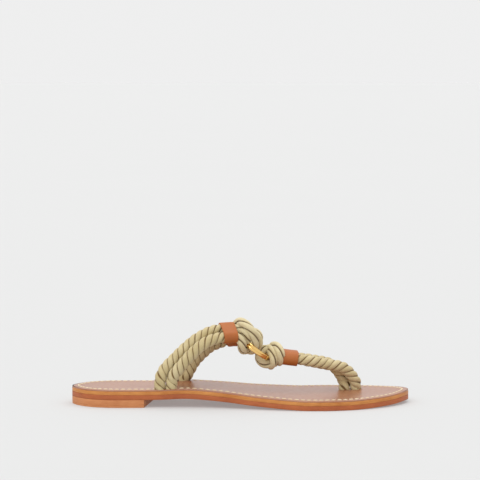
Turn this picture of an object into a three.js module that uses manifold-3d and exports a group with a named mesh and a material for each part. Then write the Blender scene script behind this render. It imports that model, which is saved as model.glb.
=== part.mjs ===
// A flat toe post sandal for a right foot, in millimetres: a layered leather sole with a low heel,
// and an upper of three-strand rope, leather bands, two rope knots and a ring.
// +X points to the toe, +Y to the inner side of the foot, +Z up. The sole stands on z = 0.

import * as THREE from 'three';
import { mergeVertices } from 'three/addons/utils/BufferGeometryUtils.js';
import Module from 'manifold-3d';

const wasm = await Module();
wasm.setup();

// Sole sizes
const SOLE_LENGTH = 250;
const BALL_WIDTH = 85;
const HEEL_HEIGHT = 5.7;
const TOE_SPRING = 2.4;
const TOP_PIECE_THICKNESS = 1.5;
const HEEL_LENGTH = 58;
const HEEL_BREAST_ANGLE = 8;
const OUTSOLE_THICKNESS = 3.3;
const MIDSOLE_THICKNESS = 2.4;
const INSOLE_THICKNESS = 1;
const EDGE_ROUNDING = 0.7;
const LAYER_GAP = 0.3;

// Upper sizes
const ROPE_DIAMETER = 8.2;
const KNOT_ROPE_DIAMETER = 7;
const ROPE_PITCH = 16;
const ROPE_VALLEY = 2.85;
const INSTEP_RISE = 46;
const BAND_THICKNESS = 1.2;
const INSTEP_BAND_LENGTH = 9;
const TOE_BAND_LENGTH = 11.5;
const RING_DIAMETER = 26;
const RING_WIRE = 2.3;
const RING_BEVEL = 0.6;
const RING_TILT = 35;
const HOOP_LIFT = 0.9;
const HOOP_OPENING = 4;

// Fits
const CORD_GAP = 0.3;
const BAND_CLEARANCE = 0.35;
const SLOT_CLEARANCE = 0.5;
const RING_CLEARANCE = 0.35;

// Fineness of the faces
const OUTLINE_STEPS = 32;
const OUTLINE_SAMPLES = 1000;
const SOLE_COLUMNS = 3;
const ROPE_STEPS_PER_TURN = 10;
const STRAND_STEP = 3;
const STRAND_SIDES = 7;
const BAND_STEPS = 3;
const ARC_SEGMENTS = 4;
const RING_STEPS = 28;
const SHORTEST_EDGE = 0.01;

const ROPE_RADIUS = ROPE_DIAMETER / 2;
const ROPE_SPACING = ROPE_DIAMETER + CORD_GAP;
const DEGREE = Math.PI / 180;

// The sole's outline: at is the share of its length from the heel, out and in are the shares of the
// ball width that lie on the outer and the inner side of the middle line.
const OUTLINE = [
  { at: 0.04, out: 0.212, in: 0.224 },
  { at: 0.1, out: 0.3, in: 0.306 },
  { at: 0.18, out: 0.312, in: 0.318 },
  { at: 0.28, out: 0.298, in: 0.318 },
  { at: 0.4, out: 0.316, in: 0.329 },
  { at: 0.48, out: 0.365, in: 0.359 },
  { at: 0.56, out: 0.424, in: 0.4 },
  { at: 0.64, out: 0.476, in: 0.453 },
  { at: 0.7, out: 0.498, in: 0.484 },
  { at: 0.76, out: 0.492, in: 0.5 },
  { at: 0.82, out: 0.45, in: 0.49 },
  { at: 0.88, out: 0.37, in: 0.44 },
  { at: 0.94, out: 0.24, in: 0.345 },
  { at: 0.98, out: 0.1, in: 0.225 },
];
const TOE_TIP_ACROSS = 0.06;

// The underside of the outsole: heel and toe are shares of the heel height and of the toe spring.
const UNDERSIDE = [
  { at: 0, heel: 1, toe: 0 },
  { at: 0.25, heel: 1, toe: 0 },
  { at: 0.34, heel: 1.13, toe: 0 },
  { at: 0.41, heel: 0.965, toe: 0 },
  { at: 0.47, heel: 0.75, toe: 0 },
  { at: 0.53, heel: 0.47, toe: 0 },
  { at: 0.59, heel: 0.26, toe: 0 },
  { at: 0.65, heel: 0.08, toe: 0 },
  { at: 0.69, heel: 0, toe: 0 },
  { at: 0.82, heel: 0, toe: 0 },
  { at: 0.89, heel: 0, toe: 0.25 },
  { at: 0.94, heel: 0, toe: 0.5 },
  { at: 1, heel: 0, toe: 1 },
];

// The middle line of each pair of ropes: at and across are shares of the sole's length and ball
// width, rise is the share of the instep rise above the insole. The second rope lies from the first
// along the direction (x, y, z).
const OUTER_PAIR = [
  { at: 0.28, across: -0.241, rise: 0.03, x: 1, y: 0, z: 0 },
  { at: 0.281, across: -0.241, rise: 0.093, x: 1, y: 0, z: 0 },
  { at: 0.283, across: -0.24, rise: 0.173, x: 0.97, y: -0.05, z: -0.22 },
  { at: 0.292, across: -0.238, rise: 0.273, x: 0.82, y: -0.35, z: -0.4 },
  { at: 0.318, across: -0.233, rise: 0.425, x: 0.63, y: -0.6, z: -0.49 },
  { at: 0.348, across: -0.221, rise: 0.591, x: 0.51, y: -0.71, z: -0.48 },
  { at: 0.375, across: -0.204, rise: 0.721, x: 0.42, y: -0.76, z: -0.49 },
  { at: 0.394, across: -0.187, rise: 0.792, x: 0.35, y: -0.8, z: -0.49 },
  { at: 0.413, across: -0.167, rise: 0.842, x: 0.33, y: -0.76, z: -0.55 },
  { at: 0.434, across: -0.146, rise: 0.882, x: 0.3, y: -0.75, z: -0.59 },
  { at: 0.457, across: -0.125, rise: 0.902, x: 0.3, y: -0.75, z: -0.59 },
  { at: 0.482, across: -0.101, rise: 0.916, x: 0.3, y: -0.75, z: -0.59 },
];
const INNER_PAIR = [
  { at: 0.311, across: 0.247, rise: 0.02, x: 1, y: 0, z: 0 },
  { at: 0.322, across: 0.247, rise: 0.113, x: 0.89, y: 0, z: -0.45 },
  { at: 0.35, across: 0.246, rise: 0.361, x: 0.7, y: 0.35, z: -0.62 },
  { at: 0.385, across: 0.227, rise: 0.555, x: 0.55, y: 0.55, z: -0.63 },
  { at: 0.407, across: 0.207, rise: 0.652, x: 0.45, y: 0.62, z: -0.64 },
  { at: 0.43, across: 0.18, rise: 0.71, x: 0.35, y: 0.65, z: -0.68 },
  { at: 0.454, across: 0.153, rise: 0.77, x: 0.3, y: 0.65, z: -0.7 },
  { at: 0.474, across: 0.128, rise: 0.8, x: 0.3, y: 0.65, z: -0.7 },
  { at: 0.49, across: 0.104, rise: 0.815, x: 0.3, y: 0.65, z: -0.7 },
];
const TOE_PAIR = [
  { at: 0.829, across: 0.226, rise: 0.03, x: -1, y: 0, z: 0 },
  { at: 0.829, across: 0.225, rise: 0.095, x: -0.96, y: 0.2, z: -0.2 },
  { at: 0.824, across: 0.222, rise: 0.16, x: -0.81, y: 0.43, z: -0.38 },
  { at: 0.814, across: 0.212, rise: 0.25, x: -0.66, y: 0.6, z: -0.4 },
  { at: 0.8, across: 0.198, rise: 0.33, x: -0.35, y: 0.81, z: -0.46 },
  { at: 0.781, across: 0.18, rise: 0.395, x: -0.12, y: 0.95, z: -0.2 },
  { at: 0.761, across: 0.164, rise: 0.435, x: 0, y: 1, z: 0 },
  { at: 0.713, across: 0.115, rise: 0.495, x: 0, y: 1, z: 0 },
  { at: 0.671, across: 0.098, rise: 0.533, x: 0, y: 1, z: 0 },
  { at: 0.646, across: 0.096, rise: 0.541, x: 0, y: 1, z: 0 },
  { at: 0.622, across: 0.098, rise: 0.549, x: 0, y: 1, z: 0 },
];

// The ring's centre, in the same shares
const RING_PLACE = { at: 0.542, across: 0.035, rise: 0.646 };

// Knot strands, in rope diameters from the ring's centre: down runs along the ring's slope to the
// toe, across to the inner side, above out of the ring's plane.
const OUTER_EYE = [
  { down: -1.74, across: -1.83, above: 0.14 },
  { down: -1.34, across: -1.7, above: -0.09 },
  { down: -1.07, across: -1.28, above: -0.4 },
  { down: -0.79, across: -0.73, above: -0.5 },
  { down: -0.45, across: -0.3, above: -0.05 },
  { down: -0.66, across: -0.62, above: 0.38 },
  { down: -0.97, across: -1.07, above: 0.52 },
  { down: -1.34, across: -1.37, above: 0.72 },
  { down: -1.72, across: -1.4, above: 0.89 },
  { down: -2.11, across: -1.22, above: 0.82 },
];
const INNER_EYE = [
  { down: -1.29, across: 0.61, above: 0.71 },
  { down: -0.94, across: -0.12, above: 1.23 },
  { down: -0.51, across: -0.67, above: 1.27 },
  { down: -0.21, across: -0.73, above: 0.97 },
  { down: -0.03, across: -0.48, above: 0.51 },
  { down: -0.07, across: -0.24, above: -0.09 },
  { down: -0.47, across: 0, above: -0.3 },
  { down: -1.04, across: 0.37, above: -0.2 },
];
const INSTEP_WRAP = [
  { down: -1.84, across: 0.12, above: 0.39 },
  { down: -2.31, across: 0, above: 0.48 },
  { down: -2.62, across: -0.3, above: 0.8 },
  { down: -2.58, across: -0.79, above: 1.33 },
  { down: -2.11, across: -1.4, above: 1.49 },
  { down: -1.52, across: -1.7, above: 1.45 },
  { down: -0.96, across: -1.68, above: 1.24 },
  { down: -0.52, across: -1.34, above: 0.81 },
  { down: -0.3, across: -0.91, above: 0.35 },
  { down: -0.19, across: -0.36, above: 0.01 },
];
const TOE_EYE = [
  { down: 2.2, across: 0.12, above: 0.16 },
  { down: 1.85, across: 0, above: -0.3 },
  { down: 1.39, across: -0.06, above: -0.54 },
  { down: 0.93, across: -0.06, above: -0.49 },
  { down: 0.63, across: 0, above: -0.24 },
  { down: 0.56, across: 0.12, above: 0.14 },
  { down: 0.79, across: 0.31, above: 0.51 },
  { down: 1.23, across: 0.61, above: 0.71 },
  { down: 1.8, across: 0.98, above: 0.75 },
];
const NECK_WRAP = [
  { down: 1.35, across: 1.28, above: 1 },
  { down: 1.33, across: 0.55, above: 1.26 },
  { down: 1.62, across: -0.12, above: 1.34 },
  { down: 2.01, across: -0.46, above: 1.11 },
  { down: 2.33, across: -0.34, above: 0.74 },
  { down: 2.43, across: 0.12, above: 0.32 },
  { down: 2.29, across: 0.86, above: 0.05 },
  { down: 1.74, across: 1.34, above: 0.21 },
  { down: 1.21, across: 1.04, above: 0.59 },
  { down: 1.14, across: 0.37, above: 0.8 },
  { down: 1.46, across: -0.19, above: 0.68 },
  { down: 1.83, across: -0.4, above: 0.37 },
  { down: 2.05, across: -0.22, above: -0.06 },
  { down: 1.97, across: 0.25, above: -0.41 },
  { down: 1.66, across: 0.73, above: -0.32 },
];
const NECK_CORE = [
  { down: 2.44, across: 0.65, above: 0.69 },
  { down: 1.88, across: 0.73, above: 0.4 },
  { down: 1.38, across: 0.73, above: -0.01 },
];

const LEATHER = { color: 0xa56c4b, roughness: 0.5, metalness: 0 };
const EDGE_LEATHER = { color: 0xcd9158, roughness: 0.65, metalness: 0 };
const OUTSOLE_LEATHER = { color: 0xb46740, roughness: 0.6, metalness: 0 };
const HEEL_LEATHER = { color: 0xcb8c5f, roughness: 0.6, metalness: 0 };
const BAND_LEATHER = { color: 0xc37648, roughness: 0.5, metalness: 0 };
const ROPE = { color: 0xcdc098, roughness: 0.9, metalness: 0 };
const GOLD = { color: 0xe6b866, roughness: 0.2, metalness: 1 };

// Smooth curve through the rows of a table, without overshoot
function follow(rows, column, at) {
  if (at <= rows[0].at) return rows[0][column];
  const last = rows.length - 1;
  if (at >= rows[last].at) return rows[last][column];
  const slope = (i) => (rows[i + 1][column] - rows[i][column]) / (rows[i + 1].at - rows[i].at);
  const tangent = (i) => {
    if (i === 0 || i === last) return 0;
    const before = slope(i - 1);
    const after = slope(i);
    return before * after <= 0 ? 0 : (2 * before * after) / (before + after);
  };
  const i = rows.findIndex((row) => row.at > at) - 1;
  const width = rows[i + 1].at - rows[i].at;
  const t = (at - rows[i].at) / width;
  const rest = 1 - t;
  return (
    rows[i][column] * (1 + 2 * t) * rest * rest +
    tangent(i) * width * t * rest * rest +
    rows[i + 1][column] * (3 - 2 * t) * t * t -
    tangent(i + 1) * width * rest * t * t
  );
}

const lengthwise = (at) => (at - 0.5) * SOLE_LENGTH;

function underside(x) {
  const at = x / SOLE_LENGTH + 0.5;
  return follow(UNDERSIDE, 'heel', at) * HEEL_HEIGHT + follow(UNDERSIDE, 'toe', at) * TOE_SPRING;
}

const MIDSOLE_BASE = OUTSOLE_THICKNESS + LAYER_GAP;
const INSOLE_BASE = MIDSOLE_BASE + MIDSOLE_THICKNESS + LAYER_GAP;
const SOLE_THICKNESS = INSOLE_BASE + INSOLE_THICKNESS;

const insoleTop = (x) => underside(x) + SOLE_THICKNESS;

// Points of one side of the outline from heel tip to toe tip
function outlineSide(column, sign) {
  const points = [new THREE.Vector3(lengthwise(0), 0, 0)];
  for (const row of OUTLINE) {
    points.push(new THREE.Vector3(lengthwise(row.at), sign * row[column] * BALL_WIDTH, 0));
  }
  points.push(new THREE.Vector3(lengthwise(1), TOE_TIP_ACROSS * BALL_WIDTH, 0));
  return points;
}

// Points round the sole, each with the direction outward
function soleOutline() {
  const outer = outlineSide('out', -1);
  const inner = outlineSide('in', 1).slice(1, -1).reverse();
  const loop = new THREE.CatmullRomCurve3([...outer, ...inner], true, 'centripetal');
  const toePoint = (outer.length - 1) / (outer.length + inner.length);
  const lengths = loop.getLengths(OUTLINE_SAMPLES);
  const toeShare = lengths[Math.round(toePoint * OUTLINE_SAMPLES)] / lengths[OUTLINE_SAMPLES];
  const rim = [];
  for (let i = 0; i < 2 * OUTLINE_STEPS; i += 1) {
    const onOuter = i < OUTLINE_STEPS;
    const part = onOuter ? i / OUTLINE_STEPS : i / OUTLINE_STEPS - 1;
    const share = onOuter ? part * toeShare : toeShare + part * (1 - toeShare);
    const point = loop.getPointAt(share);
    const along = loop.getTangentAt(share);
    rim.push({ point, outward: new THREE.Vector3(along.y, -along.x, 0).normalize() });
  }
  return rim;
}

const RIM = soleOutline();

// A plate with the sole's outline. Each level gives how far its edge is set in and how high it is
// above the plate's base, which lies at height(x).
function plate(levels, height) {
  const count = RIM.length;
  const half = count / 2;
  const vertices = [];
  const triangles = [];
  const add = (x, y, z) => vertices.push(x, y, z) / 3 - 1;
  const rings = levels.map(({ inset, up }) =>
    RIM.map(({ point, outward }) => {
      const x = point.x - outward.x * inset;
      const y = point.y - outward.y * inset;
      return { x, y, index: add(x, y, height(x) + up) };
    })
  );
  for (let level = 0; level + 1 < rings.length; level += 1) {
    for (let i = 0; i < count; i += 1) {
      const next = (i + 1) % count;
      const low = rings[level];
      const high = rings[level + 1];
      triangles.push(low[i].index, low[next].index, high[next].index);
      triangles.push(low[i].index, high[next].index, high[i].index);
    }
  }
  const cap = (ring, up, top) => {
    const face = (a, b, c) => triangles.push(...(top ? [a, b, c] : [a, c, b]));
    const rows = [];
    for (let i = 1; i < half; i += 1) {
      const from = ring[i];
      const to = ring[count - i];
      const row = [from.index];
      for (let column = 1; column < SOLE_COLUMNS; column += 1) {
        const share = column / SOLE_COLUMNS;
        const x = from.x + (to.x - from.x) * share;
        const y = from.y + (to.y - from.y) * share;
        row.push(add(x, y, height(x) + up));
      }
      rows.push([...row, to.index]);
    }
    for (let column = 0; column < SOLE_COLUMNS; column += 1) {
      face(ring[0].index, rows[0][column], rows[0][column + 1]);
      face(ring[half].index, rows[half - 2][column + 1], rows[half - 2][column]);
      for (let i = 0; i + 1 < rows.length; i += 1) {
        face(rows[i][column], rows[i + 1][column], rows[i + 1][column + 1]);
        face(rows[i][column], rows[i + 1][column + 1], rows[i][column + 1]);
      }
    }
  };
  cap(rings[0], levels[0].up, false);
  cap(rings[rings.length - 1], levels[levels.length - 1].up, true);
  const geometry = new THREE.BufferGeometry();
  geometry.setAttribute('position', new THREE.Float32BufferAttribute(vertices, 3));
  geometry.setIndex(triangles);
  return geometry;
}

// Levels of a plate with square edges, and of one whose lower or upper edge is rounded off
function squareLevels(thickness) {
  return [
    { inset: 0, up: 0 },
    { inset: 0, up: thickness },
  ];
}

function roundedLevels(thickness, lower, upper) {
  const levels = [{ inset: 0, up: lower }, { inset: 0, up: thickness - upper }];
  if (lower > 0) levels.unshift({ inset: lower, up: 0 });
  if (upper > 0) levels.push({ inset: upper, up: thickness });
  return levels;
}

function toSolid(geometry) {
  const bare = geometry.clone();
  bare.deleteAttribute('normal');
  bare.deleteAttribute('uv');
  const merged = mergeVertices(bare, 1e-4);
  const vertProperties = new Float32Array(merged.attributes.position.array);
  const triVerts = new Uint32Array(merged.index.array);
  return new wasm.Manifold(new wasm.Mesh({ numProp: 3, vertProperties, triVerts }));
}

function toGeometry(solid) {
  const { vertProperties, triVerts } = solid.getMesh();
  const geometry = new THREE.BufferGeometry();
  geometry.setAttribute('position', new THREE.Float32BufferAttribute(vertProperties, 3));
  geometry.setIndex([...triVerts]);
  return geometry;
}

// What is left of a piece, without slivers that the tools part from it
function cut(geometry, tools) {
  const left = tools.reduce((solid, tool) => solid.subtract(toSolid(tool)), toSolid(geometry));
  const bodies = left.simplify(SHORTEST_EDGE).decompose();
  return toGeometry(bodies.reduce((most, body) => (body.volume() > most.volume() ? body : most)));
}

function join(geometries) {
  return toGeometry(geometries.map(toSolid).reduce((whole, solid) => whole.add(solid)));
}

// A point of the upper, from its shares of the named sizes
function place({ at, across, rise }) {
  const x = lengthwise(at);
  return new THREE.Vector3(x, across * BALL_WIDTH, insoleTop(x) + rise * INSTEP_RISE);
}

// A pair of ropes: its foot, its middle line, the direction from the first rope to the second, and
// the line of each rope
function ropePair(rows) {
  const middles = rows.map(place);
  const foot = middles[0].clone();
  foot.z = Math.max(underside(foot.x - ROPE_SPACING), underside(foot.x + ROPE_SPACING)) + MIDSOLE_BASE;
  const apart = rows.map((row) => new THREE.Vector3(row.x, row.y, row.z).normalize());
  const middle = new THREE.CatmullRomCurve3([foot, ...middles], false, 'centripetal');
  const side = new THREE.CatmullRomCurve3([apart[0], ...apart], false, 'catmullrom');
  const rope = (sign) => {
    const shift = (point, i) => point.clone().addScaledVector(apart[i], (sign * ROPE_SPACING) / 2);
    const route = [shift(foot, 0), ...middles.map(shift)];
    return new THREE.CatmullRomCurve3(route, false, 'centripetal');
  };
  return { foot, middle, side, first: rope(-1), second: rope(1) };
}

// The part of a curve from its start up to a length
function stretch(curve, length) {
  const count = Math.round(length / ROPE_RADIUS);
  const total = curve.getLength();
  const points = [];
  for (let i = 0; i <= count; i += 1) {
    points.push(curve.getPointAt(((i / count) * length) / total));
  }
  return new THREE.CatmullRomCurve3(points);
}

// The section of a rope: three strands, each a lobe
function ropeSection() {
  const profile = [ROPE_VALLEY, ROPE_RADIUS, ROPE_RADIUS];
  const count = 3 * profile.length;
  const points = [];
  for (let i = 0; i < count; i += 1) {
    const radius = profile[i % profile.length];
    const angle = (i / count) * 2 * Math.PI;
    points.push(new THREE.Vector2(radius * Math.cos(angle), radius * Math.sin(angle)));
  }
  return new THREE.Shape(points);
}

// A straight bar laid along a curve: frame(share) gives the middle and the two directions across
function bend(bar, steps, frame) {
  const position = bar.attributes.position;
  for (let i = 0; i < position.count; i += 1) {
    const share = Math.round(position.getZ(i) * steps) / steps;
    const { centre, right, up } = frame(share);
    const point = centre.clone();
    point.addScaledVector(right, position.getX(i));
    point.addScaledVector(up, position.getY(i));
    position.setXYZ(i, point.x, point.y, point.z);
  }
  return bar;
}

// A rope laid left-handed along a curve
function rope(curve) {
  const length = curve.getLength();
  const steps = Math.round((length / ROPE_PITCH) * ROPE_STEPS_PER_TURN);
  const bar = new THREE.ExtrudeGeometry(ropeSection(), { depth: 1, steps, bevelEnabled: false });
  const frames = curve.computeFrenetFrames(steps, false);
  return bend(bar, steps, (share) => {
    const i = Math.round(share * steps);
    const turn = (-2 * Math.PI * share * length) / ROPE_PITCH;
    const normal = frames.normals[i];
    const binormal = frames.binormals[i];
    const right = normal.clone().multiplyScalar(Math.cos(turn));
    right.addScaledVector(binormal, Math.sin(turn));
    const up = binormal.clone().multiplyScalar(Math.cos(turn));
    up.addScaledVector(normal, -Math.sin(turn));
    return { centre: curve.getPointAt(share), right, up };
  });
}

// Two round ends joined by straight sides, as wide as a pair of ropes
function pairShape(radius) {
  const half = ROPE_SPACING / 2;
  const shape = new THREE.Shape();
  shape.absarc(half, 0, radius, -Math.PI / 2, Math.PI / 2, false);
  shape.absarc(-half, 0, radius, Math.PI / 2, (3 * Math.PI) / 2, false);
  shape.closePath();
  return shape;
}

// A closed leather band round a pair of ropes, just before the end of the pair's route. It can be
// grown on all sides to cut what lies next to it.
function band(pair, length, grow) {
  const inner = ROPE_RADIUS + BAND_CLEARANCE;
  const shape = pairShape(inner + BAND_THICKNESS + grow);
  shape.holes.push(pairShape(inner - grow));
  const settings = { depth: 1, steps: BAND_STEPS, bevelEnabled: false, curveSegments: ARC_SEGMENTS };
  const bar = new THREE.ExtrudeGeometry(shape, settings);
  const total = pair.middle.getLength();
  const to = total - CORD_GAP + grow;
  const from = to - length - 2 * grow;
  return bend(bar, BAND_STEPS, (share) => {
    const u = (from + (to - from) * share) / total;
    const along = pair.middle.getTangentAt(u);
    const right = pair.side.getPoint(pair.middle.getUtoTmapping(u));
    right.addScaledVector(along, -right.dot(along)).normalize();
    const up = new THREE.Vector3().crossVectors(along, right);
    return { centre: pair.middle.getPointAt(u), right, up };
  });
}

// The slot that a pair of ropes goes down through
function slot(pair) {
  const radius = ROPE_RADIUS + SLOT_CLEARANCE;
  const depth = SOLE_THICKNESS + HEEL_HEIGHT;
  const settings = { depth, bevelEnabled: false, curveSegments: ARC_SEGMENTS };
  const tool = new THREE.ExtrudeGeometry(pairShape(radius), settings);
  return tool.translate(pair.foot.x, pair.foot.y, pair.foot.z - OUTSOLE_THICKNESS);
}

function roundShape(radius) {
  const shape = new THREE.Shape();
  shape.absarc(0, 0, radius, 0, 2 * Math.PI, false);
  return new THREE.Shape(shape.getSpacedPoints(STRAND_SIDES).slice(0, -1));
}

function tube(extrudePath, radius) {
  const steps = Math.round(extrudePath.getLength() / STRAND_STEP);
  const settings = { extrudePath, steps, bevelEnabled: false };
  return new THREE.ExtrudeGeometry(roundShape(radius), settings);
}

// One strand of a knot, joined from short lengths because it may press against itself. It can be
// grown to cut what lies next to it.
function strand(points, grow = 0) {
  const curve = new THREE.CatmullRomCurve3(points, false, 'centripetal');
  const steps = Math.round(curve.getLength() / STRAND_STEP);
  const frames = curve.computeFrenetFrames(steps, false);
  const shape = roundShape(KNOT_ROPE_DIAMETER / 2 + grow);
  const lengths = [];
  for (let i = 0; i < steps; i += 1) {
    const bar = new THREE.ExtrudeGeometry(shape, { depth: 1, steps: 1, bevelEnabled: false });
    const frame = (share) => ({
      centre: curve.getPointAt((i + share) / steps),
      right: frames.normals[i + share],
      up: frames.binormals[i + share],
    });
    lengths.push(bend(bar, 1, frame));
  }
  return join(lengths);
}

// Ring
const ringCentre = place(RING_PLACE);
const slopeDown = new THREE.Vector3(Math.cos(RING_TILT * DEGREE), 0, -Math.sin(RING_TILT * DEGREE));
const slopeOut = new THREE.Vector3(Math.sin(RING_TILT * DEGREE), 0, Math.cos(RING_TILT * DEGREE));

function fromRing({ down, across, above }) {
  const point = ringCentre.clone();
  point.addScaledVector(slopeDown, down * ROPE_DIAMETER);
  point.addScaledVector(slopeOut, above * ROPE_DIAMETER);
  point.y += across * ROPE_DIAMETER;
  return point;
}

// One hoop of the ring round the y axis, lifted and hinged up about its front
function hoop(grow, lift, opening) {
  const outer = RING_DIAMETER / 2 + grow;
  const inner = RING_DIAMETER / 2 - RING_WIRE - grow;
  const half = RING_WIRE / 2 + grow;
  const corners = [
    [inner, -half + RING_BEVEL],
    [inner + RING_BEVEL, -half],
    [outer - RING_BEVEL, -half],
    [outer, -half + RING_BEVEL],
    [outer, half - RING_BEVEL],
    [outer - RING_BEVEL, half],
    [inner + RING_BEVEL, half],
    [inner, half - RING_BEVEL],
  ];
  const profile = [...corners, corners[0]].map(([x, y]) => new THREE.Vector2(x, y));
  const geometry = new THREE.LatheGeometry(profile, RING_STEPS);
  const position = geometry.attributes.position;
  for (let i = 0; i < position.count; i += 1) {
    const behind = RING_DIAMETER / 2 - position.getX(i);
    position.setY(i, position.getY(i) + lift + behind * Math.tan(opening * DEGREE));
  }
  return geometry;
}

const ringHoops = (grow) => [hoop(grow, 0, 0), hoop(grow, HOOP_LIFT, HOOP_OPENING)];
const ringTurn = new THREE.Matrix4().makeBasis(slopeDown, slopeOut, new THREE.Vector3(0, -1, 0));

function ringTools() {
  const placed = ringTurn.clone().setPosition(ringCentre);
  return ringHoops(RING_CLEARANCE).map((geometry) => geometry.applyMatrix4(placed));
}

const outerPair = ropePair(OUTER_PAIR);
const innerPair = ropePair(INNER_PAIR);
const toePair = ropePair(TOE_PAIR);

// Where each rope stops inside its band, and where the knot's strand takes over
function handover(curve, bandLength) {
  const total = curve.getLength();
  const end = total - bandLength / 2;
  const start = [0, 0.5, 1].map((share) => {
    const past = CORD_GAP + (total - end - CORD_GAP) * share;
    return curve.getPointAt((end + past) / total);
  });
  return { rope: stretch(curve, end), start };
}

const outerRear = handover(outerPair.first, INSTEP_BAND_LENGTH);
const outerFront = handover(outerPair.second, INSTEP_BAND_LENGTH);
const innerRear = handover(innerPair.first, INSTEP_BAND_LENGTH);
const innerFront = handover(innerPair.second, INSTEP_BAND_LENGTH);
const toeFront = handover(toePair.first, TOE_BAND_LENGTH);
const toeRear = handover(toePair.second, TOE_BAND_LENGTH);

function eye(from, rows, to, grow = 0) {
  return strand([...from.start, ...rows.map(fromRing), ...[...to.start].reverse()], grow);
}

const ropeTool = ({ rope: curve }) => tube(curve, ROPE_RADIUS + CORD_GAP);

function instepKnot() {
  const outer = eye(outerFront, OUTER_EYE, outerRear);
  const inner = eye(innerRear, INNER_EYE, innerFront);
  const wrap = strand(INSTEP_WRAP.map(fromRing));
  const ropes = [outerRear, outerFront, innerRear, innerFront].map(ropeTool);
  const bands = [outerPair, innerPair].map((pair) => band(pair, INSTEP_BAND_LENGTH, CORD_GAP));
  const toeEye = eye(toeFront, TOE_EYE, toeRear, CORD_GAP);
  return cut(join([outer, inner, wrap]), [...ringTools(), toeEye, ...ropes, ...bands]);
}

function toeKnot() {
  const loops = [NECK_WRAP, NECK_CORE].map((rows) => strand(rows.map(fromRing)));
  const ropes = [toeFront, toeRear].map(ropeTool);
  const toeBand = band(toePair, TOE_BAND_LENGTH, CORD_GAP);
  return cut(join([eye(toeFront, TOE_EYE, toeRear), ...loops]), [...ringTools(), ...ropes, toeBand]);
}

// The space behind the heel breast, which leans to the toe on the inner side
function heelCut() {
  const size = SOLE_LENGTH;
  const block = new THREE.BoxGeometry(size, 2 * size, size);
  block.translate(size / 2, 0, 0);
  block.rotateZ(-HEEL_BREAST_ANGLE * DEGREE);
  return block.translate(lengthwise(0) + HEEL_LENGTH, 0, 0);
}

function heelPiece(base, thickness) {
  return cut(plate(squareLevels(thickness), () => base), [heelCut()]);
}

const slots = [slot(outerPair), slot(innerPair), slot(toePair)];
const midsoleHeight = (x) => underside(x) + MIDSOLE_BASE;
const insoleHeight = (x) => underside(x) + INSOLE_BASE;
const insoleRounding = Math.min(EDGE_ROUNDING, INSOLE_THICKNESS / 2);

const outsole = plate(roundedLevels(OUTSOLE_THICKNESS, EDGE_ROUNDING / 2, EDGE_ROUNDING / 2), underside);
const midsole = plate(squareLevels(MIDSOLE_THICKNESS), midsoleHeight);
const insole = plate(roundedLevels(INSOLE_THICKNESS, 0, insoleRounding), insoleHeight);

const liftThickness = HEEL_HEIGHT - TOP_PIECE_THICKNESS;

const pieces = [
  ['outsole', outsole, OUTSOLE_LEATHER],
  ['midsole', cut(midsole, slots), EDGE_LEATHER],
  ['insole', cut(insole, slots), LEATHER],
  ['heel_lift', heelPiece(TOP_PIECE_THICKNESS, liftThickness), HEEL_LEATHER],
  ['heel_top_piece', heelPiece(0, TOP_PIECE_THICKNESS), HEEL_LEATHER],
  ['lateral_rope_rear', rope(outerRear.rope), ROPE],
  ['lateral_rope_front', rope(outerFront.rope), ROPE],
  ['medial_rope_rear', rope(innerRear.rope), ROPE],
  ['medial_rope_front', rope(innerFront.rope), ROPE],
  ['lateral_band', band(outerPair, INSTEP_BAND_LENGTH, 0), BAND_LEATHER],
  ['medial_band', band(innerPair, INSTEP_BAND_LENGTH, 0), BAND_LEATHER],
  ['instep_knot', instepKnot(), ROPE],
  ['toe_knot', toeKnot(), ROPE],
  ['toe_band', band(toePair, TOE_BAND_LENGTH, 0), BAND_LEATHER],
  ['toe_rope_front', rope(toeFront.rope), ROPE],
  ['toe_rope_rear', rope(toeRear.rope), ROPE],
];

const sandal = new THREE.Group();
for (const [name, geometry, finish] of pieces) {
  const mesh = new THREE.Mesh(geometry, new THREE.MeshStandardMaterial(finish));
  mesh.name = name;
  sandal.add(mesh);
}

const ring = new THREE.Mesh(join(ringHoops(0)), new THREE.MeshStandardMaterial(GOLD));
ring.name = 'ring';
ring.position.copy(ringCentre);
ring.quaternion.setFromRotationMatrix(ringTurn);
sandal.add(ring);

export default sandal;
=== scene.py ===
import math

import bpy
import numpy as np
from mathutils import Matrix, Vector


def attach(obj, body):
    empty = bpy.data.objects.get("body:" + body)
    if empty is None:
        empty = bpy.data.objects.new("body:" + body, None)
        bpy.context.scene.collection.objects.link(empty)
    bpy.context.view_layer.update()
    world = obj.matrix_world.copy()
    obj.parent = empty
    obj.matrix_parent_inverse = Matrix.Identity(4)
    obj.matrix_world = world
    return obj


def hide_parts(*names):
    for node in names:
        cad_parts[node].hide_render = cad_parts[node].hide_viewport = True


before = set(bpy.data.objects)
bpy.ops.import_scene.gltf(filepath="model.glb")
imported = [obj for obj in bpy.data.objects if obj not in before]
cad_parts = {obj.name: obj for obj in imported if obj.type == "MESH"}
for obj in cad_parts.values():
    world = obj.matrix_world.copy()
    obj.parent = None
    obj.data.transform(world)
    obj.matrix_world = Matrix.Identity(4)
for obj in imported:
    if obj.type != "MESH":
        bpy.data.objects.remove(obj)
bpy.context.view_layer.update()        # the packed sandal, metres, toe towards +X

MM = 0.001

# Sizes of the sole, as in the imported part
SOLE_LENGTH = 250 * MM
BALL_WIDTH = 85 * MM
HEEL_HEIGHT = 5.7 * MM
TOE_SPRING = 2.4 * MM
TOP_PIECE_THICKNESS = 1.5 * MM
HEEL_LENGTH = 58 * MM
HEEL_BREAST_ANGLE = math.radians(8)
OUTSOLE_THICKNESS = 3.3 * MM
MIDSOLE_THICKNESS = 2.4 * MM
INSOLE_THICKNESS = 1.0 * MM
LAYER_GAP = 0.3 * MM

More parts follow.
